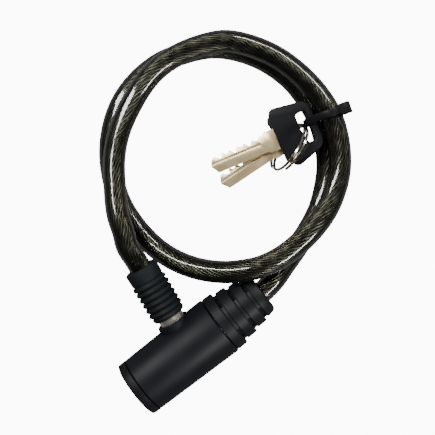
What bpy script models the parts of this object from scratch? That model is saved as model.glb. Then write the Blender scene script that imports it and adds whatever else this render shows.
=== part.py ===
"""Keyed cable lock: lock body, cable with plug, two keys on a split ring and a cable tie."""
import math

import bmesh
import bpy
from mathutils import Matrix, Vector

MM = 0.001
GAP = 0.3

# Lock body, measured along its axis from the middle of its length.
HALF_LENGTH = 35.65
AXIS_Y = -0.95
AXIS_Z = 14.0
CAP_LENGTH = 4.0
CAP_RADIUS = 13.3
BARREL_END = 11.55
BARREL_RADIUS = 14.0
SHELL_INNER = 11.9
HOUSING_RADIUS = 11.6
HOUSING_NOSE = 19.5
CORE_RADIUS = 6.0
CORE_BORE = 6.05
CORE_INNER_END = -15.0
SEGMENTS = 48
FINE = 32

# Socket and plug, along the plug's own axis from the body's axis.
PLUG_X = -5.5
PLUG_ROLL = math.radians(8.0)
PLUG_LEAN = math.radians(7.0)
PIN_RADIUS = 3.9
PIN_TIP = -7.0
PIN_NECK = 2.4
RIM_TOP = 15.0
RIM_RADIUS = 7.6
SOCKET_RADIUS = 6.15
FERRULE_RADIUS = 5.8
BOOT_BOTTOM = 17.6
BOOT_TOP = 42.6
BOOT_RADIUS = 7.65
BELLOWS_COUNT = 6
BELLOWS_PITCH = 2.7
BELLOWS_RADIUS = 8.25

# Bolt and cam.
CAM_OFFSET = 2.0
CAM_PIN_RADIUS = 1.1
CAM_REST = math.radians(45.0)
BOLT_LIFT = 5.53

# Cable.
CABLE_RADIUS = 5.0
SLEEVE_INNER = 3.5
CORE_WIRE = 3.1
CABLE_POINTS = 66
CABLE_SIDES = 12
CABLE_PLUG_START = 28.6
CABLE_ROUTE = (
    (3.4, 57.6, 20.9),
    (6.2, 65.4, 20.2),
    (12.0, 75.2, 18.2),
    (20.1, 86.4, 16.2),
    (29.8, 94.8, 15.7),
    (46.8, 103.1, 15.6),
    (58.5, 105.9, 15.6),
    (69.3, 105.4, 15.6),
    (81.5, 102.0, 15.6),
    (91.9, 96.2, 15.6),
    (103.4, 79.6, 15.9),
    (108.2, 60.5, 16.9),
    (107.7, 44.4, 17.6),
    (103.2, 31.9, 17.6),
    (95.5, 21.0, 17.9),
    (85.6, 13.4, 18.9),
    (76.4, 9.3, 20.0),
    (66.0, 7.1, 21.1),
    (53.0, 6.6, 22.1),
    (43.6, 8.3, 22.4),
    (36.9, 11.0, 21.8),
    (27.3, 16.9, 19.0),
    (17.6, 26.8, 13.3),
    (10.9, 39.5, 8.1),
    (8.2, 54.2, 5.5),
    (9.6, 70.6, 5.1),
    (17.0, 87.2, 5.1),
    (26.6, 98.2, 5.1),
    (37.3, 105.2, 5.1),
    (47.6, 108.4, 5.1),
    (57.6, 109.2, 5.1),
    (67.1, 107.9, 5.1),
    (86.0, 99.4, 5.1),
    (98.3, 84.8, 5.1),
    (104.2, 68.3, 5.8),
    (104.6, 54.0, 6.5),
    (102.1, 41.1, 6.5),
    (93.9, 25.6, 5.4),
    (80.6, 13.6, 6.2),
    (72.6, 9.4, 7.5),
    (61.6, 5.5, 9.9),
    (50.0, 2.1, 12.3),
    (42.5, -0.1, 13.6),
)
CABLE_ANCHOR_X = 6.2
CABLE_SLEEVE_X = 20.4

# Keys, about the middle of the slot in the head; x runs to the blade's tip.
KEY_SLOPE = math.radians(7.0)
KEY_HEADING = math.radians(170.2)
KEY_FAN = math.radians(5.5)
KEY_SLOT_POS = (96.0, 45.3, 12.4)
KEY_STACK = 2.8
HEAD_OUTER = -5.2
HEAD_INNER = 13.6
HEAD_THICK = 2.5
HEAD_WIDTHS = (21.5, 27.0)
HEAD_CORNERS = (4.5, 3.0, 3.0, 4.5)
SLOT_SIZE = (5.0, 14.0)
BLADE_START = 13.9
BLADE_TIP = 45.6
BLADE_THICK = 2.0

# Split ring.
RING_RADIUS = 11.55
RING_WIRE = 0.65
RING_PITCH = 1.65
RING_TURNS = 1.9
RING_HEADING = math.radians(201.0)
RING_LEAN = math.radians(18.0)
RING_CENTRE_Z = 12.5

# Cable tie.
TIE_HEADING = math.radians(-19.0)
TIE_WIDTH = 3.2
TIE_THICK = 1.1
TIE_POS = (97.4, 46.6)
TIE_UPPER = (10.55, 17.6)
TIE_LOWER = (5.65, 6.5)
TIE_BEND = 5.9

BODY = Matrix.Translation((0, AXIS_Y, AXIS_Z)) @ Matrix.Rotation(PLUG_ROLL, 4, "X")
PLUG = BODY @ Matrix.Translation((PLUG_X, 0, 0)) @ Matrix.Rotation(-PLUG_LEAN, 4, "Z")
ALONG_X = Matrix(((0, 0, 1, 0), (1, 0, 0, 0), (0, 1, 0, 0), (0, 0, 0, 1)))
ALONG_Y = Matrix(((0, 1, 0, 0), (0, 0, 1, 0), (1, 0, 0, 0), (0, 0, 0, 1)))


def clear_scene():
    for obj in list(bpy.data.objects):
        bpy.data.objects.remove(obj, do_unlink=True)


def material(name, colour, roughness, metallic, alpha=1.0):
    mat = bpy.data.materials.new(name)
    mat.use_nodes = True
    shader = mat.node_tree.nodes["Principled BSDF"]
    shader.inputs["Base Color"].default_value = (*colour, 1.0)
    shader.inputs["Roughness"].default_value = roughness
    shader.inputs["Metallic"].default_value = metallic
    shader.inputs["Alpha"].default_value = alpha
    mat.diffuse_color = (*colour, alpha)
    return mat


def finish_mesh(bm, name, frame=None, smooth=False):
    if frame is not None:
        bm.transform(frame)
    bmesh.ops.recalc_face_normals(bm, faces=bm.faces)
    mesh = bpy.data.meshes.new(name)
    bm.to_mesh(mesh)
    bm.free()
    obj = bpy.data.objects.new(name, mesh)
    bpy.context.scene.collection.objects.link(obj)
    for face in mesh.polygons:
        face.use_smooth = smooth
    return obj


def revolve(name, profile, frame, segments=SEGMENTS, phase=0.0):
    """Turn a closed (height, radius) profile about the frame's z axis."""
    bm = bmesh.new()
    rings = []
    for height, radius in profile:
        if radius <= 0:
            rings.append([bm.verts.new((0, 0, height))] * segments)
            continue
        ring = []
        for k in range(segments):
            turn = 2 * math.pi * (k + phase) / segments
            ring.append(bm.verts.new((radius * math.cos(turn), radius * math.sin(turn), height)))
        rings.append(ring)
    for low, high in zip(rings, rings[1:] + rings[:1]):
        for k in range(segments):
            nxt = (k + 1) % segments
            corners = []
            for vert in (low[k], low[nxt], high[nxt], high[k]):
                if vert not in corners:
                    corners.append(vert)
            if len(corners) > 2:
                bm.faces.new(corners)
    return finish_mesh(bm, name, frame, smooth=True)


def prism(name, outline, low, high, frame):
    """Extrude an (x, y) outline between two heights of the frame's z axis."""
    bm = bmesh.new()
    base = [bm.verts.new((x, y, low)) for x, y in outline]
    top = [bm.verts.new((x, y, high)) for x, y in outline]
    bm.faces.new(base)
    bm.faces.new(top)
    count = len(outline)
    for k in range(count):
        nxt = (k + 1) % count
        bm.faces.new((base[k], base[nxt], top[nxt], top[k]))
    return finish_mesh(bm, name, frame)


def box(name, low, high, frame):
    outline = ((low[0], low[1]), (high[0], low[1]), (high[0], high[1]), (low[0], high[1]))
    return prism(name, outline, low[2], high[2], frame)


def rod(name, radius, low, high, frame, segments=FINE, phase=0.0):
    profile = ((low, 0), (low, radius), (high, radius), (high, 0))
    return revolve(name, profile, frame, segments, phase)


def combine(obj, tool, operation, solver="EXACT"):
    """Apply one boolean with a tool body, then drop the tool."""
    step = obj.modifiers.new("step", "BOOLEAN")
    step.operation = operation
    step.solver = solver
    step.object = tool
    bpy.context.view_layer.update()
    graph = bpy.context.evaluated_depsgraph_get()
    mesh = bpy.data.meshes.new_from_object(obj.evaluated_get(graph))
    obj.modifiers.clear()
    obj.data = mesh
    bpy.data.objects.remove(tool, do_unlink=True)
    return obj


def cut(obj, tool, solver="EXACT"):
    return combine(obj, tool, "DIFFERENCE", solver)


def join(obj, tool):
    return combine(obj, tool, "UNION")


def paint(obj, mat):
    """Give a finished body its material and bring it from millimetres to metres."""
    obj.data.transform(Matrix.Scale(MM, 4))
    obj.data.materials.clear()
    obj.data.materials.append(mat)
    return obj


def round_smooth(obj, degrees=35.0):
    """Shade round faces smooth and keep edges sharper than the angle."""
    limit = math.radians(degrees)
    bm = bmesh.new()
    bm.from_mesh(obj.data)
    for face in bm.faces:
        face.smooth = True
    for edge in bm.edges:
        if len(edge.link_faces) == 2 and edge.calc_face_angle() > limit:
            edge.smooth = False
    bm.to_mesh(obj.data)
    bm.free()
    return obj


def place_origin(obj, point_mm):
    shift = Vector(point_mm) * MM
    obj.data.transform(Matrix.Translation(-shift))
    obj.location = shift
    return obj


def rounded_outline(corners, radii, steps=4):
    """Round each corner of a convex outline by its own radius."""
    result = []
    count = len(corners)
    for k in range(count):
        radius = radii[k]
        here = Vector(corners[k])
        back = (Vector(corners[k - 1]) - here).normalized()
        ahead = (Vector(corners[(k + 1) % count]) - here).normalized()
        half = back.angle(ahead) / 2
        centre = here + (back + ahead).normalized() * (radius / math.sin(half))
        start = here + back * (radius / math.tan(half)) - centre
        end = here + ahead * (radius / math.tan(half)) - centre
        for step in range(steps + 1):
            mix = start.lerp(end, step / steps).normalized() * radius
            result.append((centre.x + mix.x, centre.y + mix.y))
    return result


# ---------------------------------------------------------------- lock body

def barrel_shell():
    start = -HALF_LENGTH + CAP_LENGTH + GAP
    profile = (
        (start, 0), (start, 12.9), (start + 0.4, 13.3), (BARREL_END - 1.0, BARREL_RADIUS),
        (BARREL_END - 0.3, 13.85), (BARREL_END, 13.4), (BARREL_END, 0),
    )
    shell = revolve("barrel_shell", profile, BODY @ ALONG_X)
    rim_profile = (
        (10.6, 0), (10.6, RIM_RADIUS), (RIM_TOP - 0.5, RIM_RADIUS),
        (RIM_TOP, RIM_RADIUS - 0.5), (RIM_TOP, 0),
    )
    join(shell, revolve("rim", rim_profile, PLUG @ ALONG_Y, FINE))
    cut(shell, rod("core_room", SHELL_INNER, -60.0, 60.0, BODY @ ALONG_X, SEGMENTS))
    cut(shell, rod("bore", SOCKET_RADIUS + 0.25, 5.0, 20.0, PLUG @ ALONG_Y))
    return shell


def end_cap():
    outer = -HALF_LENGTH
    inner = -HALF_LENGTH + CAP_LENGTH
    profile = (
        (outer, CORE_RADIUS + 0.6), (outer, CAP_RADIUS - 0.9), (outer + 0.25, CAP_RADIUS - 0.25),
        (outer + 0.9, CAP_RADIUS), (inner - 0.2, CAP_RADIUS), (inner, CAP_RADIUS - 0.2),
        (inner, CORE_RADIUS + 0.6),
    )
    cap = revolve("end_cap", profile, BODY @ ALONG_X)
    for side in (-1, 1):
        notch = (outer - 1.0, side * (CAP_RADIUS - 0.3) - 1.4, 1.9)
        top = (outer + 1.6, side * (CAP_RADIUS - 0.3) + 1.4, 4.4)
        cut(cap, box("notch", notch, top, BODY))
    return cap


def lock_housing():
    start = -HALF_LENGTH + CAP_LENGTH + GAP
    profile = (
        (start, 0), (start, HOUSING_RADIUS), (BARREL_END - 0.3, HOUSING_RADIUS),
        (BARREL_END - 0.3, 7.6), (HOUSING_NOSE, 7.6), (HOUSING_NOSE, 0),
    )
    block = revolve("lock_housing", profile, BODY @ ALONG_X)
    cut(block, rod("core_bore", CORE_BORE, start - 1.0, CORE_INNER_END + GAP, BODY @ ALONG_X), "MANIFOLD")
    cut(block, rod("pin_bore", PIN_RADIUS + 0.2, PIN_TIP - 0.6, 14.0, PLUG @ ALONG_Y, FINE, 0.37), "MANIFOLD")
    cut(block, rod("socket", SOCKET_RADIUS, 9.2, 14.5, PLUG @ ALONG_Y, FINE, 0.37), "MANIFOLD")
    head_low = (CORE_INNER_END - 0.2, -4.4, -5.0)
    head_high = (-10.6, 5.5, 8.6)
    cut(block, box("head_room", head_low, head_high, BODY), "MANIFOLD")
    cut(block, box("tongue_room", (-6.4, -4.5, 2.3), (3.6, -1.5, 8.45), PLUG), "MANIFOLD")
    cut(block, rod("crimp_bore", 4.2, 3.4, HOUSING_NOSE + 1.0, BODY @ ALONG_X, FINE, 0.31), "MANIFOLD")
    side = BODY @ Matrix.Translation((10.0 - 1.0, 0, 0))
    cut(block, rod("screw_hole", 2.15, 3.0, 13.0, side, 24, 0.4), "MANIFOLD")
    lock = BODY @ Matrix.Translation((-20.0, 0, -5.9)) @ ALONG_Y
    cut(block, rod("retainer_hole", 1.0, -13.0, 13.0, lock, 16, 0.3), "MANIFOLD")
    return block


def key_slot_outline():
    return ((-1.3, -3.6), (1.3, -3.6), (1.3, -0.4), (0.55, -0.4), (0.55, 0.8), (1.3, 0.8),
            (1.3, 3.6), (-0.2, 3.6), (-0.2, 2.2), (-1.3, 2.2))


def lock_core():
    face = -HALF_LENGTH + 0.5
    groove = -20.0
    profile = (
        (face, 0), (face, CORE_RADIUS - 0.3), (face + 0.3, CORE_RADIUS),
        (groove - 1.1, CORE_RADIUS), (groove - 1.1, 4.8), (groove + 1.1, 4.8),
        (groove + 1.1, CORE_RADIUS), (CORE_INNER_END, CORE_RADIUS), (CORE_INNER_END, 0),
    )
    core = revolve("lock_core", profile, BODY @ ALONG_X, FINE)
    turned = BODY @ Matrix.Rotation(CAM_REST, 4, "X")
    cam = turned @ Matrix.Translation((0, CAM_OFFSET, 0)) @ ALONG_X
    join(core, rod("cam", CAM_PIN_RADIUS, CORE_INNER_END - 1.0, CORE_INNER_END + 3.5, cam, 20))
    cut(core, prism("keyway", key_slot_outline(), face - 1.0, CORE_INNER_END - 7.5, BODY @ ALONG_X))
    for k in range(5):
        middle = wafer_x(k)
        low = (middle - 0.75, -2.6, -5.1)
        high = (middle + 0.75, 2.6, 7.0)
        cut(core, box("wafer_room", low, high, BODY))
    return core


def wafer_x(index):
    return -32.6 + 2.25 * index


def wafer(index):
    middle = wafer_x(index)
    low = (middle - 0.45, -2.3, -4.8)
    high = (middle + 0.45, 2.3, 5.3)
    name = "wafer_%d" % (index + 1)
    plate = box(name, low, high, BODY)
    drop = 0.25 * ((index * 3) % 4)
    window_low = (middle - 2.0, -1.5, -3.9 + drop)
    window_high = (middle + 2.0, 1.5, 3.4 + drop)
    cut(plate, box("window", window_low, window_high, BODY))
    return plate


def core_retainer():
    lock = BODY @ Matrix.Translation((-20.0, 0, -5.9)) @ ALONG_Y
    return rod("core_retainer", 0.8, -9.3, 9.3, lock, 16)


def lock_bolt():
    bolt = box("lock_bolt", (-14.5, -4.1, -1.6), (-11.2, 5.2, 8.13), BODY)
    tongue = box("tongue", (-6.1, -4.1, BOLT_LIFT), (3.3, -1.9, 8.13), PLUG)
    join(bolt, tongue)
    low = CAM_OFFSET * math.sin(CAM_REST) - CAM_PIN_RADIUS - GAP
    near = CAM_OFFSET * math.cos(CAM_REST) - CAM_PIN_RADIUS - GAP
    far = CAM_OFFSET + CAM_PIN_RADIUS + GAP
    high = low + 2 * CAM_PIN_RADIUS + 2 * GAP
    cut(bolt, box("slot", (-16.0, near, low), (-11.35 + 0.85, far, high), BODY))
    return bolt


def cable_relief():
    """Ribbed strain relief: four bands that step down to the cable."""
    start = BARREL_END + GAP
    inner = 7.9
    bands = ((start, 13.7), (start + 6.4, 12.4), (start + 12.8, 11.3), (start + 19.2, 10.3))
    profile = [(start, inner), (start, 13.3), (start + 0.4, 13.7)]
    for k, (low, radius) in enumerate(bands):
        top = low + 4.8
        if k:
            profile += [(low, radius - 0.7), (low, radius - 0.3), (low + 0.3, radius)]
        if k == 3:
            break
        profile += [(top - 0.3, radius - 0.15), (top, radius - 0.45), (top, bands[k + 1][1] - 0.7)]
    profile += [(HALF_LENGTH - 1.6, 9.7), (HALF_LENGTH - 0.5, 9.1), (HALF_LENGTH, 8.0)]
    profile += [(HALF_LENGTH, CABLE_RADIUS + GAP), (HOUSING_NOSE + 0.4, CABLE_RADIUS + GAP)]
    profile += [(HOUSING_NOSE + 0.4, inner)]
    relief = revolve("cable_relief", profile, BODY @ ALONG_X, 40)
    for k in range(3):
        low = bands[k][0] + 5.0
        depth = bands[k + 1][1] - 2.0
        for turn in range(4):
            frame = BODY @ Matrix.Rotation(math.radians(90.0 * turn + 35.0), 4, "X")
            cut(relief, box("window", (low, -3.0, depth), (low + 1.2, 3.0, 16.0), frame))
    return relief


def anchor_crimp():
    profile = (
        (3.7, 0), (3.7, 3.6), (4.0, 3.9), (19.0, 3.9), (19.3, 3.6), (19.3, 3.35), (5.8, 3.35),
        (5.8, 0),
    )
    return revolve("anchor_crimp", profile, BODY @ ALONG_X, FINE)


def anchor_screw():
    side = BODY @ Matrix.Translation((9.0, 0, 0))
    screw = rod("anchor_screw", 1.95, 4.05, 11.2, side, 24)
    hexagon = [(1.05 * math.cos(k * math.pi / 3), 1.05 * math.sin(k * math.pi / 3)) for k in range(6)]
    cut(screw, prism("hex", hexagon, 9.2, 12.0, side))
    return screw


# --------------------------------------------------------------------- plug

def lock_pin():
    profile = (
        (PIN_TIP, 0), (PIN_TIP, 2.9), (PIN_TIP + 1.0, PIN_RADIUS), (-4.4, PIN_RADIUS),
        (-4.4, PIN_NECK), (-1.6, PIN_NECK), (-1.6, PIN_RADIUS), (12.5, PIN_RADIUS),
        (12.5, 3.0), (18.5, 3.0), (18.5, 0),
    )
    return revolve("lock_pin", profile, PLUG @ ALONG_Y, FINE)


def pin_ferrule():
    profile = (
        (9.7, 4.2), (9.7, 5.5), (10.0, FERRULE_RADIUS), (20.7, FERRULE_RADIUS),
        (21.0, 5.5), (21.0, 4.4), (28.0, 4.4), (28.0, 3.35), (12.8, 3.35), (12.8, 4.2),
    )
    return revolve("pin_ferrule", profile, PLUG @ ALONG_Y, FINE)


def plug_boot():
    profile = [(BOOT_BOTTOM, 6.1), (BOOT_BOTTOM, 6.95), (BOOT_BOTTOM + 0.5, 7.45), (19.0, 7.65)]
    first = 20.0
    for k in range(BELLOWS_COUNT):
        low = first + BELLOWS_PITCH * k
        profile += [(low, 7.0), (low + 0.55, BELLOWS_RADIUS - 0.35), (low + 1.15, BELLOWS_RADIUS)]
        profile += [(low + 1.75, BELLOWS_RADIUS - 0.35)]
    end = first + BELLOWS_PITCH * BELLOWS_COUNT
    profile += [(end, 7.0), (end + 0.4, BOOT_RADIUS - 0.15), (BOOT_TOP - 0.9, BOOT_RADIUS)]
    profile += [(BOOT_TOP - 0.3, BOOT_RADIUS - 0.3), (BOOT_TOP, BOOT_RADIUS - 0.9)]
    profile += [(BOOT_TOP, CABLE_RADIUS + GAP), (28.3, CABLE_RADIUS + GAP), (28.3, 4.7)]
    profile += [(21.3, 4.7), (21.3, 6.1)]
    return revolve("plug_boot", profile, PLUG @ ALONG_Y, FINE)


# -------------------------------------------------------------------- cable

def plug_point(distance):
    return PLUG @ Vector((0, distance, 0))


def body_point(distance):
    return Vector((distance, AXIS_Y, AXIS_Z))


def spline(points, steps=12):
    """Centripetal Catmull-Rom curve through the points."""
    pts = [2 * points[0] - points[1]] + list(points) + [2 * points[-1] - points[-2]]
    result = []
    for k in range(1, len(pts) - 2):
        p0, p1, p2, p3 = pts[k - 1:k + 3]
        t1 = (p1 - p0).length ** 0.5
        t2 = t1 + (p2 - p1).length ** 0.5
        t3 = t2 + (p3 - p2).length ** 0.5
        for step in range(steps):
            t = t1 + (t2 - t1) * step / steps
            a1 = p0.lerp(p1, t / t1)
            a2 = p1.lerp(p2, (t - t1) / (t2 - t1))
            a3 = p2.lerp(p3, (t - t2) / (t3 - t2))
            b1 = a1.lerp(a2, t / t2)
            b2 = a2.lerp(a3, (t - t1) / (t3 - t1))
            result.append(b1.lerp(b2, (t - t1) / (t2 - t1)))
    result.append(points[-1])
    return result


def resample(points, count):
    """Evenly spaced points along a polyline."""
    marks = [0.0]
    for a, b in zip(points, points[1:]):
        marks.append(marks[-1] + (b - a).length)
    result = []
    k = 0
    for index in range(count):
        goal = marks[-1] * index / (count - 1)
        while k < len(marks) - 2 and marks[k + 1] < goal:
            k += 1
        result.append(points[k].lerp(points[k + 1], (goal - marks[k]) / (marks[k + 1] - marks[k])))
    return result


def cable_path():
    """Centre line of the sleeve, from inside the plug's boot to inside the relief."""
    route = [plug_point(CABLE_PLUG_START), plug_point(36.0), plug_point(BOOT_TOP), plug_point(47.0)]
    route += [Vector((0.9, 51.6, 21.0))]
    route += [Vector(p) for p in CABLE_ROUTE]
    route += [body_point(HALF_LENGTH), body_point(30.0), body_point(CABLE_SLEEVE_X)]
    return resample(spline(route), CABLE_POINTS)


def path_frames(points):
    """A pair of cross axes at each point, carried along without twist."""
    tangents = []
    for k in range(len(points)):
        tangents.append((points[min(k + 1, len(points) - 1)] - points[max(k - 1, 0)]).normalized())
    side = tangents[0].orthogonal().normalized()
    frames = []
    for tangent in tangents:
        side = (side - tangent * side.dot(tangent)).normalized()
        frames.append((side, tangent.cross(side)))
    return frames


def ring_of(bm, centre, axes, radius, sides):
    ring = []
    for k in range(sides):
        turn = 2 * math.pi * k / sides
        ring.append(bm.verts.new(centre + (axes[0] * math.cos(turn) + axes[1] * math.sin(turn)) * radius))
    return ring


def bridge(bm, low, high):
    count = len(low)
    for k in range(count):
        nxt = (k + 1) % count
        bm.faces.new((low[k], low[nxt], high[nxt], high[k]))


def cable_sleeve():
    points = cable_path()
    bm = bmesh.new()
    outer = []
    inner = []
    for centre, axes in zip(points, path_frames(points)):
        outer.append(ring_of(bm, centre, axes, CABLE_RADIUS, CABLE_SIDES))
        inner.append(ring_of(bm, centre, axes, SLEEVE_INNER, CABLE_SIDES))
    for rings in (outer, inner):
        for low, high in zip(rings, rings[1:]):
            bridge(bm, low, high)
    bridge(bm, outer[0], inner[0])
    bridge(bm, outer[-1], inner[-1])
    return finish_mesh(bm, "cable_sleeve", None, smooth=True)


def cable_core():
    curve = bpy.data.curves.new("cable_core", "CURVE")
    curve.dimensions = "3D"
    curve.bevel_depth = CORE_WIRE * MM
    curve.bevel_resolution = 2
    curve.use_fill_caps = True
    line = curve.splines.new("POLY")
    points = [plug_point(19.2)] + cable_path() + [body_point(CABLE_ANCHOR_X)]
    line.points.add(len(points) - 1)
    for spot, place in zip(line.points, points):
        spot.co = (*(place * MM), 1.0)
    line.use_smooth = True
    obj = bpy.data.objects.new("cable_core", curve)
    bpy.context.scene.collection.objects.link(obj)
    return obj


# --------------------------------------------------------- keys, ring and tie

def key_frame(index):
    """Frame of a key: 1 is the upper key, 2 the lower."""
    heading = KEY_HEADING + (-KEY_FAN if index == 1 else KEY_FAN)
    turn = Matrix.Rotation(KEY_HEADING, 4, "Z") @ Matrix.Rotation(KEY_SLOPE, 4, "Y")
    spin = Matrix.Rotation(heading - KEY_HEADING, 4, "Z")
    lift = KEY_STACK if index == 1 else 0.0
    return Matrix.Translation(KEY_SLOT_POS) @ turn @ spin @ Matrix.Translation((0, 0, lift))


def key_head(index):
    half_outer = HEAD_WIDTHS[0] / 2
    half_inner = HEAD_WIDTHS[1] / 2
    corners = ((HEAD_OUTER, -half_outer), (HEAD_INNER, -half_inner), (HEAD_INNER, half_inner),
               (HEAD_OUTER, half_outer))
    frame = key_frame(index)
    outline = rounded_outline(corners, HEAD_CORNERS)
    head = prism("key_%d_head" % index, outline, -HEAD_THICK / 2, HEAD_THICK / 2, frame)
    half_x = SLOT_SIZE[0] / 2
    half_y = SLOT_SIZE[1] / 2
    slot = ((-half_x, -half_y), (half_x, -half_y), (half_x, half_y), (-half_x, half_y))
    cut(head, prism("slot", rounded_outline(slot, (1.2,) * 4, 3), -3.0, 3.0, frame))
    cut(head, box("pocket", (7.9, -3.3, -0.8), (14.5, 3.3, 0.8), frame))
    return head


def blade_outline():
    """Blade seen flat: tang, wide shoulder, cut upper edge and pointed tip."""
    upper = [(BLADE_START, 4.85), (18.3, 4.85), (19.3, 4.0)]
    cuts = ((22.6, 2.7), (26.2, 1.8), (29.8, 2.9), (33.4, 1.5), (37.0, 2.3), (40.4, 1.7))
    for place, depth in cuts:
        upper += [(place - 1.5, 3.7), (place - 0.5, depth), (place + 0.5, depth)]
    upper += [(43.2, 3.5), (44.2, 2.6), (BLADE_TIP, 0.4)]
    lower = [(BLADE_TIP, -0.6), (43.4, -4.0), (19.3, -4.0), (18.3, -4.85), (BLADE_START, -4.85)]
    return upper + lower


def key_blade(index):
    frame = key_frame(index)
    half = BLADE_THICK / 2
    outline = [(x, -y) for x, y in blade_outline()]
    blade = prism("key_%d_blade" % index, outline, -half, half, frame)
    join(blade, box("tang", (8.3, -3.0, -0.5), (BLADE_START + 1.0, 3.0, 0.5), frame))
    for face in (-1, 1):
        low = (21.5, -0.9, min(face * 0.45, face * 3.0))
        high = (50.0, 0.1, max(face * 0.45, face * 3.0))
        cut(blade, box("groove", low, high, frame))
    return blade


def ring_frame():
    """Frame of the split ring: z is its own axis."""
    middle = Matrix.Translation(KEY_SLOT_POS) @ Matrix.Rotation(KEY_HEADING, 4, "Z")
    start = middle @ Vector((0.85, -1.2, 0))
    chord = Vector((math.cos(RING_HEADING), math.sin(RING_HEADING), 0))
    across = Vector((chord.y, -chord.x, 0))
    rise = -across * math.sin(RING_LEAN) + Vector((0, 0, math.cos(RING_LEAN)))
    centre = start + chord * RING_RADIUS
    centre.z = RING_CENTRE_Z
    axis = chord.cross(rise)
    return Matrix.Translation(centre) @ Matrix((chord, rise, axis)).transposed().to_4x4()


def split_ring():
    frame = ring_frame()
    curve = bpy.data.curves.new("split_ring", "CURVE")
    curve.dimensions = "3D"
    curve.bevel_depth = RING_WIRE * MM
    curve.bevel_resolution = 1
    curve.use_fill_caps = True
    count = 54
    line = curve.splines.new("POLY")
    line.points.add(count - 1)
    for k in range(count):
        part = k / (count - 1)
        turn = 2 * math.pi * RING_TURNS * part + 0.6
        place = frame @ Vector((RING_RADIUS * math.cos(turn), RING_RADIUS * math.sin(turn),
                                RING_PITCH * RING_TURNS * (part - 0.5)))
        line.points[k].co = (*(place * MM), 1.0)
    line.use_smooth = True
    obj = bpy.data.objects.new("split_ring", curve)
    bpy.context.scene.collection.objects.link(obj)
    return obj


def tie_path():
    """Closed run of the strap in its own plane, as (outward, height)."""
    top = []
    for k in range(11):
        turn = math.radians(125.0 - 15.0 * k)
        top.append((TIE_UPPER[0] + TIE_BEND * math.cos(turn), TIE_UPPER[1] + TIE_BEND * math.sin(turn)))
    low = []
    for k in range(11):
        turn = math.radians(-35.0 - 16.5 * k)
        low.append((TIE_LOWER[0] + TIE_BEND * math.cos(turn), TIE_LOWER[1] + TIE_BEND * math.sin(turn)))
    return [(-0.35, 17.4)] + top + low + [(0.3, 10.6)]


def cable_tie():
    frame = Matrix.Translation((TIE_POS[0], TIE_POS[1], 0)) @ Matrix.Rotation(TIE_HEADING, 4, "Z")
    run = tie_path()
    half = TIE_WIDTH / 2
    bm = bmesh.new()
    rings = []
    count = len(run)
    for k in range(count):
        here = Vector(run[k])
        way = (Vector(run[(k + 1) % count]) - Vector(run[k - 1])).normalized()
        out = Vector((-way.y, way.x)) * (TIE_THICK / 2)
        near = here - out
        far = here + out
        ring = [bm.verts.new((near.x, -half, near.y)), bm.verts.new((near.x, half, near.y)),
                bm.verts.new((far.x, half, far.y)), bm.verts.new((far.x, -half, far.y))]
        rings.append(ring)
    for low, high in zip(rings, rings[1:] + rings[:1]):
        bridge(bm, low, high)
    strap = finish_mesh(bm, "cable_tie", frame)
    turn = math.radians(28.0)
    out = TIE_BEND + 1.7
    spot = (TIE_UPPER[0] + out * math.cos(turn), 0, TIE_UPPER[1] + out * math.sin(turn))
    seat = frame @ Matrix.Translation(spot)
    seat = seat @ Matrix.Rotation(-turn, 4, "Y")
    join(strap, box("buckle", (-1.9, -2.6, -2.2), (1.9, 2.6, 2.2), seat))
    return strap


def build():
    clear_scene()
    plastic = material("barrel_plastic", (0.012, 0.013, 0.015), 0.38, 0.0)
    cap_plastic = material("cap_plastic", (0.014, 0.014, 0.016), 0.42, 0.0)
    relief_rubber = material("relief_rubber", (0.013, 0.013, 0.014), 0.55, 0.0)
    boot_rubber = material("boot_rubber", (0.014, 0.015, 0.017), 0.6, 0.0)
    zinc = material("zinc", (0.42, 0.43, 0.44), 0.45, 1.0)
    brass = material("brass", (0.72, 0.55, 0.26), 0.3, 1.0)
    steel = material("steel", (0.55, 0.56, 0.57), 0.3, 1.0)
    chrome = material("chrome", (0.82, 0.82, 0.83), 0.08, 1.0)
    vinyl = material("smoke_vinyl", (0.055, 0.05, 0.035), 0.12, 0.0, 0.45)
    rope = material("wire_rope", (0.5, 0.49, 0.44), 0.35, 1.0)
    nylon = material("tie_nylon", (0.012, 0.012, 0.013), 0.4, 0.0)
    gold = material("key_metal", (0.83, 0.71, 0.5), 0.28, 1.0)
    head_plastic = material("key_head_plastic", (0.012, 0.012, 0.014), 0.35, 0.0)

    for obj, mat in (
        (barrel_shell(), plastic), (end_cap(), cap_plastic), (lock_housing(), zinc),
        (cable_relief(), relief_rubber), (anchor_crimp(), steel), (anchor_screw(), steel),
        (core_retainer(), steel), (cable_tie(), nylon), (lock_bolt(), steel),
    ):
        round_smooth(paint(obj, mat))
    bolt = bpy.data.objects["lock_bolt"]
    place_origin(bolt, (-12.85, AXIS_Y, AXIS_Z))

    core_point = (-HALF_LENGTH + 0.5, AXIS_Y, AXIS_Z)
    place_origin(round_smooth(paint(lock_core(), brass)), core_point)
    for index in range(5):
        place_origin(paint(wafer(index), brass), core_point)

    plug_origin = plug_point(BOOT_BOTTOM)
    for obj, mat in ((lock_pin(), chrome), (pin_ferrule(), chrome), (plug_boot(), boot_rubber)):
        place_origin(round_smooth(paint(obj, mat), 50.0), plug_origin)

    paint(cable_sleeve(), vinyl)
    cable_core().data.materials.append(rope)
    split_ring().data.materials.append(chrome)
    for index in (1, 2):
        slot = key_frame(index) @ Vector((0, 0, 0))
        place_origin(round_smooth(paint(key_head(index), head_plastic)), slot)
        place_origin(paint(key_blade(index), gold), slot)


build()
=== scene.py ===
import math
import bpy
import bmesh
from mathutils import Matrix, Vector


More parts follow.
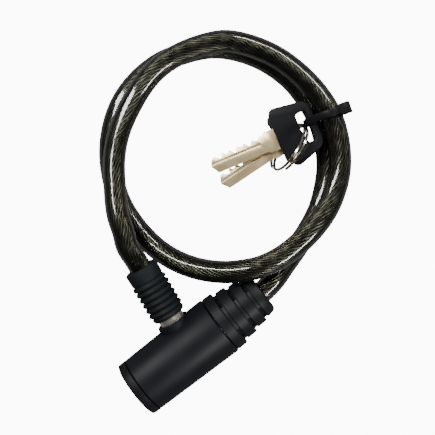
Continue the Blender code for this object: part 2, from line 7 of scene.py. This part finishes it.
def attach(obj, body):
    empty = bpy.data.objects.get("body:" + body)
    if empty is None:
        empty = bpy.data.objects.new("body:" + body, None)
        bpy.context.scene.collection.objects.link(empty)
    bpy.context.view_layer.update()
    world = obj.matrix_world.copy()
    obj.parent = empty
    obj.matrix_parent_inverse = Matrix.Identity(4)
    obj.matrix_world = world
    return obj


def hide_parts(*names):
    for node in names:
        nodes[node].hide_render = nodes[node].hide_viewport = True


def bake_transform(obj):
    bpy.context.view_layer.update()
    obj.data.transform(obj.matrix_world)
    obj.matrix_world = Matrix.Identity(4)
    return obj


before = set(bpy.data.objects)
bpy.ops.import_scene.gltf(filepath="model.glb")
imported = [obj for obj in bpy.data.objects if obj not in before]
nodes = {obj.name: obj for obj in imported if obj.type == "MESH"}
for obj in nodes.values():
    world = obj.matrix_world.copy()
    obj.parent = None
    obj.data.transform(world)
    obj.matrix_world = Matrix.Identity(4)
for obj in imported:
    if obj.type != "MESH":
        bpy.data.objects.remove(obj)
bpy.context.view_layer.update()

# ------------------------------------------------------------------ the cable's run
AXIS_Y = -0.00095
AXIS_Z = 0.014
CABLE_R = 0.005
PLUG_X = -0.0055
BODY_EXIT = 0.03565
PLUG_STEPS = (0.0286, 0.036, 0.0426, 0.047)
BODY_STEPS = (BODY_EXIT, 0.030, 0.0204)
FIRST_BEND = (0.0009, 0.0516, 0.0210)
TIE_SPOT = (0.1077, 0.0444, 0.0176)
ROLL = math.radians(8.0)
LEAN = math.radians(7.0)
PLUG = (Matrix.Translation((0, AXIS_Y, AXIS_Z)) @ Matrix.Rotation(ROLL, 4, "X")
        @ Matrix.Translation((PLUG_X, 0, 0)) @ Matrix.Rotation(-LEAN, 4, "Z"))
ROUTE = (
    (0.0034, 0.0576, 0.0209), (0.0062, 0.0654, 0.0202), (0.0120, 0.0752, 0.0182),
    (0.0201, 0.0864, 0.0162), (0.0298, 0.0948, 0.0157), (0.0468, 0.1031, 0.0156),
    (0.0585, 0.1059, 0.0156), (0.0693, 0.1054, 0.0156), (0.0815, 0.1020, 0.0156),
    (0.0919, 0.0962, 0.0156), (0.1034, 0.0796, 0.0159), (0.1082, 0.0605, 0.0169),
    (0.1077, 0.0444, 0.0176), (0.1032, 0.0319, 0.0176), (0.0955, 0.0210, 0.0179),
    (0.0856, 0.0134, 0.0189), (0.0764, 0.0093, 0.0200), (0.0660, 0.0071, 0.0211),
    (0.0530, 0.0066, 0.0221), (0.0436, 0.0083, 0.0224), (0.0369, 0.0110, 0.0218),
    (0.0273, 0.0169, 0.0190), (0.0176, 0.0268, 0.0133), (0.0109, 0.0395, 0.0081),
    (0.0082, 0.0542, 0.0055), (0.0096, 0.0706, 0.0051), (0.0170, 0.0872, 0.0051),
    (0.0266, 0.0982, 0.0051), (0.0373, 0.1052, 0.0051), (0.0476, 0.1084, 0.0051),
    (0.0576, 0.1092, 0.0051), (0.0671, 0.1079, 0.0051), (0.0860, 0.0994, 0.0051),
    (0.0983, 0.0848, 0.0051), (0.1042, 0.0683, 0.0058), (0.1046, 0.0540, 0.0065),
    (0.1021, 0.0411, 0.0065), (0.0939, 0.0256, 0.0054), (0.0806, 0.0136, 0.0062),
    (0.0726, 0.0094, 0.0075), (0.0616, 0.0055, 0.0099), (0.0500, 0.0021, 0.0123),
    (0.0425, -0.0001, 0.0136),
)


def plug_point(distance):
    """A point on the plug's leaning axis."""
    return PLUG @ Vector((0, distance, 0))


def body_point(distance):
    """A point on the lock body's axis."""
    return Vector((distance, AXIS_Y, AXIS_Z))


def spline(points, steps):
    """A centripetal Catmull-Rom curve through the points."""
    pts = [2 * points[0] - points[1]] + list(points) + [2 * points[-1] - points[-2]]
    result = []
    for k in range(1, len(pts) - 2):
        p0, p1, p2, p3 = pts[k - 1:k + 3]
        t1 = (p1 - p0).length ** 0.5
        t2 = t1 + (p2 - p1).length ** 0.5
        t3 = t2 + (p3 - p2).length ** 0.5
        for step in range(steps):
            t = t1 + (t2 - t1) * step / steps
            a1 = p0.lerp(p1, t / t1)
            a2 = p1.lerp(p2, (t - t1) / (t2 - t1))
            a3 = p2.lerp(p3, (t - t2) / (t3 - t2))
            b1 = a1.lerp(a2, t / t2)
            b2 = a2.lerp(a3, (t - t1) / (t3 - t1))
            result.append(b1.lerp(b2, (t - t1) / (t2 - t1)))
    result.append(points[-1])
    return result


def resample(points, count):
    """The same curve in equal steps, with its length."""
    marks = [0.0]
    for a, b in zip(points, points[1:]):
        marks.append(marks[-1] + (b - a).length)
    result = []
    k = 0
    for index in range(count):
        goal = marks[-1] * index / (count - 1)
        while k < len(marks) - 2 and marks[k + 1] < goal:
            k += 1
        share = (goal - marks[k]) / (marks[k + 1] - marks[k])
        result.append(points[k].lerp(points[k + 1], share))
    return result, marks[-1]


RINGS = 641
SPLINE_STEPS = 24
route = [plug_point(distance) for distance in PLUG_STEPS]
route += [Vector(FIRST_BEND)] + [Vector(p) for p in ROUTE]
route += [body_point(distance) for distance in BODY_STEPS]
path, path_length = resample(spline(route, SPLINE_STEPS), RINGS)
step_length = path_length / (RINGS - 1)
tie_spot = Vector(TIE_SPOT)
split = min(range(RINGS // 2), key=lambda k: (path[k] - tie_spot).length)

tangents = []
for k in range(RINGS):
    tangents.append((path[min(k + 1, RINGS - 1)] - path[max(k - 1, 0)]).normalized())
side = tangents[0].orthogonal().normalized()
axes = []
for tangent in tangents:
    side = (side - tangent * side.dot(tangent)).normalized()
    axes.append((side.copy(), tangent.cross(side)))


# ------------------------------------------------------------------ materials
PATCHES = (0.3, 0.7)
BLACK_GLOSS = 0.16


def new_material(name):
    mat = bpy.data.materials.new(name)
    mat.use_nodes = True
    tree = mat.node_tree
    tree.nodes.clear()
    out = tree.nodes.new("ShaderNodeOutputMaterial")
    return mat, tree, out


def add(tree, kind, **values):
    node = tree.nodes.new(kind)
    for key, value in values.items():
        setattr(node, key, value)
    return node


def noise(tree, scale, detail=3.0, vector=None):
    node = add(tree, "ShaderNodeTexNoise")
    node.inputs["Scale"].default_value = scale
    node.inputs["Detail"].default_value = detail
    if vector is None:
        coord = add(tree, "ShaderNodeTexCoord")
        vector = coord.outputs["Object"]
    tree.links.new(vector, node.inputs["Vector"])
    return node


def ramp(tree, source, low, high, a, b):
    node = add(tree, "ShaderNodeMapRange")
    node.inputs["From Min"].default_value = low
    node.inputs["From Max"].default_value = high
    node.inputs["To Min"].default_value = a
    node.inputs["To Max"].default_value = b
    tree.links.new(source, node.inputs["Value"])
    return node.outputs["Result"]


def colour_mix(tree, factor, a, b):
    node = add(tree, "ShaderNodeMix", data_type="RGBA")
    node.inputs["A"].default_value = (*a, 1)
    node.inputs["B"].default_value = (*b, 1)
    tree.links.new(factor, node.inputs["Factor"])
    return node.outputs["Result"]


def bump(tree, height, strength, distance):
    node = add(tree, "ShaderNodeBump")
    node.inputs["Strength"].default_value = strength
    node.inputs["Distance"].default_value = distance
    tree.links.new(height, node.inputs["Height"])
    return node.outputs["Normal"]


def surface(name, dark, light, rough, metallic=0.0, grain=900.0, depth=0.00003, gloss=0.5,
            wear=60.0):
    """A mottled, finely grained surface: colour, roughness and relief all vary."""
    mat, tree, out = new_material(name)
    shader = add(tree, "ShaderNodeBsdfPrincipled")
    shader.inputs["Metallic"].default_value = metallic
    shader.inputs["Specular IOR Level"].default_value = gloss
    broad = noise(tree, wear, 4.0)
    fine = noise(tree, grain, 2.0)
    colour = colour_mix(tree, broad.outputs["Fac"], dark, light)
    roughness = ramp(tree, broad.outputs["Fac"], *PATCHES, *rough)
    tree.links.new(colour, shader.inputs["Base Color"])
    tree.links.new(roughness, shader.inputs["Roughness"])
    tree.links.new(bump(tree, fine.outputs["Fac"], 0.5, depth), shader.inputs["Normal"])
    tree.links.new(shader.outputs["BSDF"], out.inputs["Surface"])
    return mat


barrel_mat = surface(
    "barrel_satin", (0.004, 0.0045, 0.006), (0.008, 0.009, 0.012),
    (0.42, 0.52), grain=1500.0, gloss=BLACK_GLOSS)
cap_mat = surface(
    "cap_satin", (0.004, 0.004, 0.005), (0.009, 0.009, 0.011),
    (0.42, 0.54), grain=1200.0, gloss=BLACK_GLOSS)
relief_mat = surface(
    "relief_soft", (0.005, 0.006, 0.007), (0.010, 0.011, 0.013),
    (0.42, 0.55), grain=1400.0, gloss=BLACK_GLOSS)
boot_mat = surface(
    "boot_rubber", (0.004, 0.005, 0.006), (0.008, 0.010, 0.012),
    (0.5, 0.64), grain=1600.0, gloss=BLACK_GLOSS)
zinc_mat = surface(
    "zinc_cast", (0.34, 0.35, 0.36), (0.46, 0.47, 0.48),
    (0.38, 0.55), 1.0, 700.0, 0.00004)
brass_mat = surface(
    "brass_turned", (0.62, 0.46, 0.2), (0.76, 0.6, 0.3),
    (0.25, 0.38), 1.0, 900.0, 0.00002)
steel_mat = surface(
    "steel_plain", (0.45, 0.46, 0.47), (0.6, 0.61, 0.62),
    (0.26, 0.38), 1.0, 1000.0, 0.00002)
chrome_mat = surface(
    "chrome_plate", (0.72, 0.71, 0.7), (0.86, 0.85, 0.84),
    (0.06, 0.14), 1.0, 800.0, 0.00001)
ferrule_mat = surface(
    "ferrule_plate", (0.74, 0.60, 0.52), (1.0, 0.95, 0.90),
    (0.14, 0.26), 0.85, 500.0, 0.00003, wear=260.0)
ring_mat = surface(
    "ring_plate", (0.60, 0.53, 0.42), (0.88, 0.84, 0.76),
    (0.12, 0.22), 1.0, 800.0, 0.00001, wear=200.0)
tie_mat = surface(
    "tie_nylon", (0.003, 0.003, 0.004), (0.007, 0.007, 0.008),
    (0.40, 0.5), grain=1300.0, gloss=BLACK_GLOSS)
head_mat = surface(
    "head_plastic", (0.004, 0.004, 0.005), (0.009, 0.009, 0.011),
    (0.40, 0.52), grain=1400.0, gloss=BLACK_GLOSS)
key_mat = surface(
    "key_plate", (0.68, 0.50, 0.25), (0.98, 0.82, 0.50),
    (0.27, 0.41), 0.7, 1100.0, 0.00003, wear=180.0)


def sleeve_material():
    """Clear smoke-tinted vinyl: tinted where looked through, dark and glossy at its edges."""
    mat, tree, out = new_material("smoke_vinyl")
    clear = add(tree, "ShaderNodeBsdfTransparent")
    cloud = noise(tree, 45.0, 3.0)
    tint = colour_mix(tree, cloud.outputs["Fac"], (0.25, 0.25, 0.22), (0.50, 0.50, 0.46))
    tree.links.new(tint, clear.inputs["Color"])
    skin = add(tree, "ShaderNodeBsdfPrincipled")
    skin.inputs["Base Color"].default_value = (0.006, 0.006, 0.005, 1)
    skin.inputs["Roughness"].default_value = 0.14
    fine = noise(tree, 260.0, 2.0)
    tree.links.new(bump(tree, fine.outputs["Fac"], 0.25, 0.00008), skin.inputs["Normal"])
    facing = add(tree, "ShaderNodeLayerWeight")
    facing.inputs["Blend"].default_value = 0.5
    body = ramp(tree, facing.outputs["Facing"], 0.14, 0.50, 0.10, 0.97)
    mix = add(tree, "ShaderNodeMixShader")
    tree.links.new(body, mix.inputs["Fac"])
    tree.links.new(clear.outputs["BSDF"], mix.inputs[1])
    tree.links.new(skin.outputs["BSDF"], mix.inputs[2])
    shine = add(tree, "ShaderNodeBsdfGlossy")
    shine.inputs["Roughness"].default_value = 0.05
    shine.inputs["Color"].default_value = (1, 1, 1, 1)
    tree.links.new(bump(tree, fine.outputs["Fac"], 0.25, 0.00008), shine.inputs["Normal"])
    fresnel = add(tree, "ShaderNodeFresnel")
    fresnel.inputs["IOR"].default_value = 1.5
    top = add(tree, "ShaderNodeMixShader")
    tree.links.new(fresnel.outputs["Fac"], top.inputs["Fac"])
    tree.links.new(mix.outputs["Shader"], top.inputs[1])
    tree.links.new(shine.outputs["BSDF"], top.inputs[2])
    tree.links.new(top.outputs["Shader"], out.inputs["Surface"])
    return mat


def rope_material():
    """Bright drawn steel strands with the twist of their own fine wires; painted shade darkens
    the grooves between the wires.
    """
    mat, tree, out = new_material("wire_rope")
    shader = add(tree, "ShaderNodeBsdfPrincipled")
    shader.inputs["Metallic"].default_value = 1.0
    uv = add(tree, "ShaderNodeUVMap", uv_map="UVMap")
    wires = add(tree, "ShaderNodeTexWave", wave_type="BANDS", bands_direction="DIAGONAL")
    wires.inputs["Scale"].default_value = 2.2
    wires.inputs["Distortion"].default_value = 0.6
    tree.links.new(uv.outputs["UV"], wires.inputs["Vector"])
    patch = noise(tree, 170.0, 3.0)
    tone = colour_mix(tree, patch.outputs["Fac"], (0.42, 0.42, 0.37), (1.0, 0.99, 0.94))
    # painted shade: this multiply darkens the strand tone in the grooves between the fine
    # wires
    dark = add(tree, "ShaderNodeMix", data_type="RGBA", blend_type="MULTIPLY")
    dark.inputs["Factor"].default_value = 1.0
    tree.links.new(tone, dark.inputs["A"])
    # painted shade: the wave bands drop the colour to 0.30 in the grooves between wires, 1.0
    # on the wire crowns
    groove_shade = colour_mix(tree, wires.outputs["Fac"], (0.30, 0.295, 0.27), (1, 1, 1))
    tree.links.new(groove_shade, dark.inputs["B"])
    tree.links.new(dark.outputs["Result"], shader.inputs["Base Color"])
    roughness = ramp(tree, patch.outputs["Fac"], *PATCHES, 0.26, 0.38)
    tree.links.new(roughness, shader.inputs["Roughness"])
    tree.links.new(bump(tree, wires.outputs["Fac"], 0.6, 0.0001), shader.inputs["Normal"])
    tree.links.new(shader.outputs["BSDF"], out.inputs["Surface"])
    return mat


sleeve_mat = sleeve_material()
rope_mat = rope_material()

# ------------------------------------------------------------------ the cable
STRANDS = 16
STRAND_R = 0.0008
STRAND_OFFSET = 0.0033
CENTRE_R = 0.0028
LAY_LENGTH = 0.052
SLEEVE_SIDES = 28
STRAND_SIDES = 8
CENTRE_SIDES = 10
SLEEVE_SLOT = 0
ROPE_SLOT = 1
SLEEVE_REACH = 1.0
WIRE_REACH = 0.04
UV_WIDTH = 1.5


def tube(bm, uv, centres, cross, radius, sides, slot, reach):
    """Lay one tube of rings along its centres; slot is its material, reach its UV step."""
    rings = []
    for centre, (a, b) in zip(centres, cross):
        ring = []
        for k in range(sides):
            turn = 2 * math.pi * k / sides
            spoke = a * math.cos(turn) + b * math.sin(turn)
            ring.append(bm.verts.new(centre + spoke * radius))
        rings.append(ring)
    for index, (low, high) in enumerate(zip(rings, rings[1:])):
        for k in range(sides):
            nxt = (k + 1) % sides
            face = bm.faces.new((low[k], low[nxt], high[nxt], high[k]))
            face.smooth = True
            face.material_index = slot
            spots = ((k, index), (k + 1, index), (k + 1, index + 1), (k, index + 1))
            for loop, (u, v) in zip(face.loops, spots):
                loop[uv].uv = (u / sides * UV_WIDTH, v * reach)


def cable(name, first, last):
    """Sleeve and laid strands between two rings of the cable's run."""
    bm = bmesh.new()
    uv = bm.loops.layers.uv.new("UVMap")
    line = path[first:last + 1]
    cross = axes[first:last + 1]
    tube(bm, uv, line, cross, CABLE_R, SLEEVE_SIDES, SLEEVE_SLOT, SLEEVE_REACH)
    for strand in range(STRANDS):
        centres = []
        for k in range(first, last + 1):
            turn = 2 * math.pi * (strand / STRANDS + k * step_length / LAY_LENGTH)
            a, b = axes[k]
            spoke = a * math.cos(turn) + b * math.sin(turn)
            centres.append(path[k] + spoke * STRAND_OFFSET)
        tube(bm, uv, centres, cross, STRAND_R, STRAND_SIDES, ROPE_SLOT, WIRE_REACH)
    tube(bm, uv, line, cross, CENTRE_R, CENTRE_SIDES, ROPE_SLOT, WIRE_REACH)
    mesh = bpy.data.meshes.new(name)
    bm.to_mesh(mesh)
    bm.free()
    mesh.materials.append(sleeve_mat)
    mesh.materials.append(rope_mat)
    obj = bpy.data.objects.new(name, mesh)
    bpy.context.scene.collection.objects.link(obj)
    return obj


plug_run = cable("cable_plug_run", 0, split)
body_run = cable("cable_body_run", split, RINGS - 1)
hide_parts("cable_sleeve", "cable_core")
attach(body_run, "lock_body")
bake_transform(plug_run)

# ------------------------------------------------------------------ the other pieces
looks = {
    "lock_body": {
        "barrel_shell": barrel_mat, "end_cap": cap_mat, "cable_relief": relief_mat,
        "lock_housing": zinc_mat, "anchor_crimp": steel_mat, "anchor_screw": steel_mat,
        "core_retainer": steel_mat, "cable_tie": tie_mat,
    },
    "core": {"lock_core": brass_mat},
    "bolt": {"lock_bolt": steel_mat},
    "plug": {"lock_pin": chrome_mat, "pin_ferrule": ferrule_mat, "plug_boot": boot_mat},
    "key_ring": {"split_ring": ring_mat},
    "key_1": {"key_1_head": head_mat, "key_1_blade": key_mat},
    "key_2": {"key_2_head": head_mat, "key_2_blade": key_mat},
}
for k in range(1, 6):
    looks["core"]["wafer_%d" % k] = brass_mat
ROUNDED = {
    "key_1_head": 0.0005, "key_2_head": 0.0005, "key_1_blade": 0.00012, "key_2_blade": 0.00012,
    "cable_tie": 0.0002,
}
WELD = 0.000002
FLAT_WITHIN = math.radians(0.6)
BEVELLED_OVER = math.radians(40)
SMOOTH_UNDER = math.radians(33)


def dressed(name, mat, body):
    """A copy of the node shaded smooth, with small bevels if it is in ROUNDED."""
    node = nodes[name]
    bm = bmesh.new()
    bm.from_mesh(node.data)
    bm.transform(node.matrix_world)
    bmesh.ops.remove_doubles(bm, verts=bm.verts, dist=WELD)
    bmesh.ops.dissolve_limit(bm, angle_limit=FLAT_WITHIN, verts=bm.verts, edges=bm.edges)
    if name in ROUNDED:
        sharp = [edge for edge in bm.edges
                 if len(edge.link_faces) == 2 and edge.calc_face_angle() > BEVELLED_OVER]
        bmesh.ops.bevel(bm, geom=sharp, offset=ROUNDED[name], segments=2, profile=0.5,
                        affect="EDGES", clamp_overlap=True)
    for face in bm.faces:
        face.smooth = True
        face.material_index = 0
    for edge in bm.edges:
        edge.smooth = len(edge.link_faces) == 2 and edge.calc_face_angle() < SMOOTH_UNDER
    mesh = bpy.data.meshes.new(name + "_look")
    bm.to_mesh(mesh)
    bm.free()
    mesh.materials.append(mat)
    obj = bpy.data.objects.new(name + "_look", mesh)
    bpy.context.scene.collection.objects.link(obj)
    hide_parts(name)
    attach(obj, body)
    return obj


for body, group in looks.items():
    for name, mat in group.items():
        dressed(name, mat, body)

# ------------------------------------------------------------------ stage, light and camera
FLOOR_HALF = 3
FLOOR_DROP = 0.0002
FLOOR_GLOW = 11.0
WORLD_STRENGTH = 0.06
floor_mat, tree, out = new_material("stage_floor")
shader = add(tree, "ShaderNodeBsdfPrincipled")
shader.inputs["Base Color"].default_value = (0.14, 0.14, 0.14, 1)
shader.inputs["Roughness"].default_value = 0.9
glow = add(tree, "ShaderNodeEmission")
glow.inputs["Strength"].default_value = FLOOR_GLOW
seen = add(tree, "ShaderNodeLightPath")
floor_mix = add(tree, "ShaderNodeMixShader")
tree.links.new(seen.outputs["Is Camera Ray"], floor_mix.inputs["Fac"])
tree.links.new(shader.outputs["BSDF"], floor_mix.inputs[1])
tree.links.new(glow.outputs["Emission"], floor_mix.inputs[2])
tree.links.new(floor_mix.outputs["Shader"], out.inputs["Surface"])
mesh = bpy.data.meshes.new("stage_floor")
corners = ((-1, -1), (1, -1), (1, 1), (-1, 1))
mesh.from_pydata([(x * FLOOR_HALF, y * FLOOR_HALF, 0) for x, y in corners], [], [(0, 1, 2, 3)])
floor = bpy.data.objects.new("stage_floor", mesh)
mesh.materials.append(floor_mat)
floor.location = (0, 0, -FLOOR_DROP)
bpy.context.scene.collection.objects.link(floor)

world = bpy.data.worlds.new("studio")
bpy.context.scene.world = world
world.use_nodes = True
background = world.node_tree.nodes["Background"]
background.inputs["Color"].default_value = (1, 1, 1, 1)
background.inputs["Strength"].default_value = WORLD_STRENGTH

CENTRE = Vector((0.040, 0.0384, 0.0))
RIGHT = Vector((0.790, -0.613, 0.0))
UP = Vector((0.613, 0.790, 0.0))
LENS = 81.4
SENSOR = 36.0
CAMERA_HEIGHT = 0.452
CAMERA_SHIFT = 0.00095


def lamp(name, right, up, height, size, power, size_y):
    """A rectangular lamp placed from the centre and turned to it."""
    data = bpy.data.lights.new(name, "AREA")
    data.energy = power
    data.size = size
    data.shape = "RECTANGLE"
    data.size_y = size_y
    obj = bpy.data.objects.new(name, data)
    place = CENTRE + RIGHT * right + UP * up + Vector((0, 0, height))
    obj.location = place
    obj.rotation_euler = (CENTRE - place).to_track_quat("-Z", "Y").to_euler()
    bpy.context.scene.collection.objects.link(obj)


lamp("key_light", -0.42, 0.30, 0.62, 0.09, 6.0, 0.5)
lamp("side_light", 0.52, -0.42, 0.60, 0.34, 7.0, 0.16)
lamp("back_light", 0.30, 0.55, 0.55, 0.5, 4.5, 0.08)

cam_data = bpy.data.cameras.new("camera")
cam_data.lens = LENS
cam_data.sensor_width = SENSOR
cam_data.clip_start = 0.01
cam = bpy.data.objects.new("camera", cam_data)
cam.matrix_world = Matrix((
    (RIGHT.x, UP.x, 0, CENTRE.x), (RIGHT.y, UP.y, 0, CENTRE.y - CAMERA_SHIFT),
    (0, 0, 1, CAMERA_HEIGHT), (0, 0, 0, 1)))
bpy.context.scene.collection.objects.link(cam)
bpy.context.scene.camera = cam
